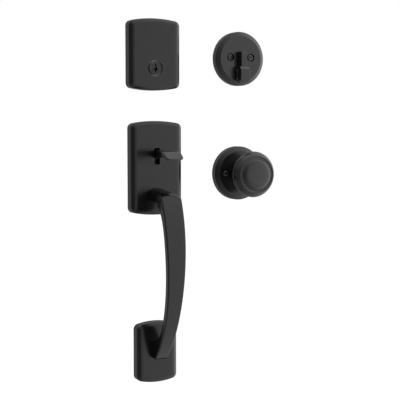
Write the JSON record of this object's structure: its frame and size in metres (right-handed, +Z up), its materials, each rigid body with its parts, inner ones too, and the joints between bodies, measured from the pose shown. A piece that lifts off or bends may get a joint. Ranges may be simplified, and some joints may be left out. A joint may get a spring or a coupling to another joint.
{
  "type": "entry door handleset",
  "caption": "Satin black entry door handleset: crowned deadbolt and handle plates with a bowed pull grip and thumb latch, and round roses with a thumbturn and a turned knob.",
  "frame": {"origin": "centre of the upper handle plate on the door face", "axes": "+Z up along the door, -Y out of the door towards the user, +X to the right as seen from outside"},
  "size_m": [0.1796, 0.1152, 0.4319],
  "materials": {
    "satin_black": "satin black powder coat",
    "black_screw": "black plated",
    "cast_zinc": "bare die cast zinc, matte",
    "zinc_plated_steel": "zinc plated",
    "spring_steel": "oiled spring steel"
  },
  "bodies": {
    "fixed_units": {"deadbolt_plate": "satin_black", "deadbolt_backplate": "zinc_plated_steel", "cylinder_housing": "cast_zinc", "thumbturn_rose": "satin_black", "thumbturn_backplate": "zinc_plated_steel", "turn_washer": "spring_steel", "thumbturn_screws": "black_screw", "handle_plate": "satin_black", "handle_chassis": "zinc_plated_steel", "latch_pin": "zinc_plated_steel", "latch_spring": "spring_steel", "pull_grip": "satin_black", "grip_screw": "zinc_plated_steel", "lower_plate": "satin_black", "lower_post": "cast_zinc", "knob_rose": "satin_black", "knob_backplate": "zinc_plated_steel", "knob_spring": "spring_steel", "knob_screws": "black_screw"},
    "key": {"key_plug": "satin_black", "plug_clip": "spring_steel", "tailpiece": "zinc_plated_steel"},
    "turn": {"thumbturn": "satin_black", "turn_clip": "spring_steel"},
    "lever": {"thumb_latch": "satin_black"},
    "cam": {"lift_cam": "cast_zinc", "cam_clip": "spring_steel", "latch_spindle": "zinc_plated_steel"},
    "inside_knob": {"knob": "satin_black", "knob_shank": "cast_zinc", "knob_clip": "spring_steel"}
  },
  "joints": [
    {"name": "key_turn", "type": "hinge", "parent": "fixed_units", "child": "key", "pos_m": [-0.002, 0, 0.1171], "axis": [0, -1, 0], "range_deg": [-90, 90]},
    {"name": "thumbturn_turn", "type": "hinge", "parent": "fixed_units", "child": "turn", "pos_m": [0.1126, 0, 0.131], "axis": [0, -1, 0], "range_deg": [-90, 90]},
    {"name": "thumb_press", "type": "hinge", "parent": "fixed_units", "child": "lever", "pos_m": [0, -0.0055, 0.0165], "axis": [1, 0, 0], "range_deg": [0, 14], "stiffness_Nm_per_rad": 0.3, "springref_deg": -22.92, "deforming": ["latch_spring"]},
    {"name": "cam_turn", "type": "hinge", "parent": "fixed_units", "child": "cam", "pos_m": [0, 0, -0.0085], "axis": [0, 1, 0], "range_deg": [0, 24]},
    {"name": "knob_turn", "type": "hinge", "parent": "fixed_units", "child": "inside_knob", "pos_m": [0.1119, 0, -0.0085], "axis": [0, -1, 0], "range_deg": [-60, 60], "stiffness_Nm_per_rad": 0.1, "deforming": ["knob_spring"]}
  ],
  "couplings": [
    {"joint": "cam_turn", "follows": "thumb_press", "ratio": 1.7}
  ]
}
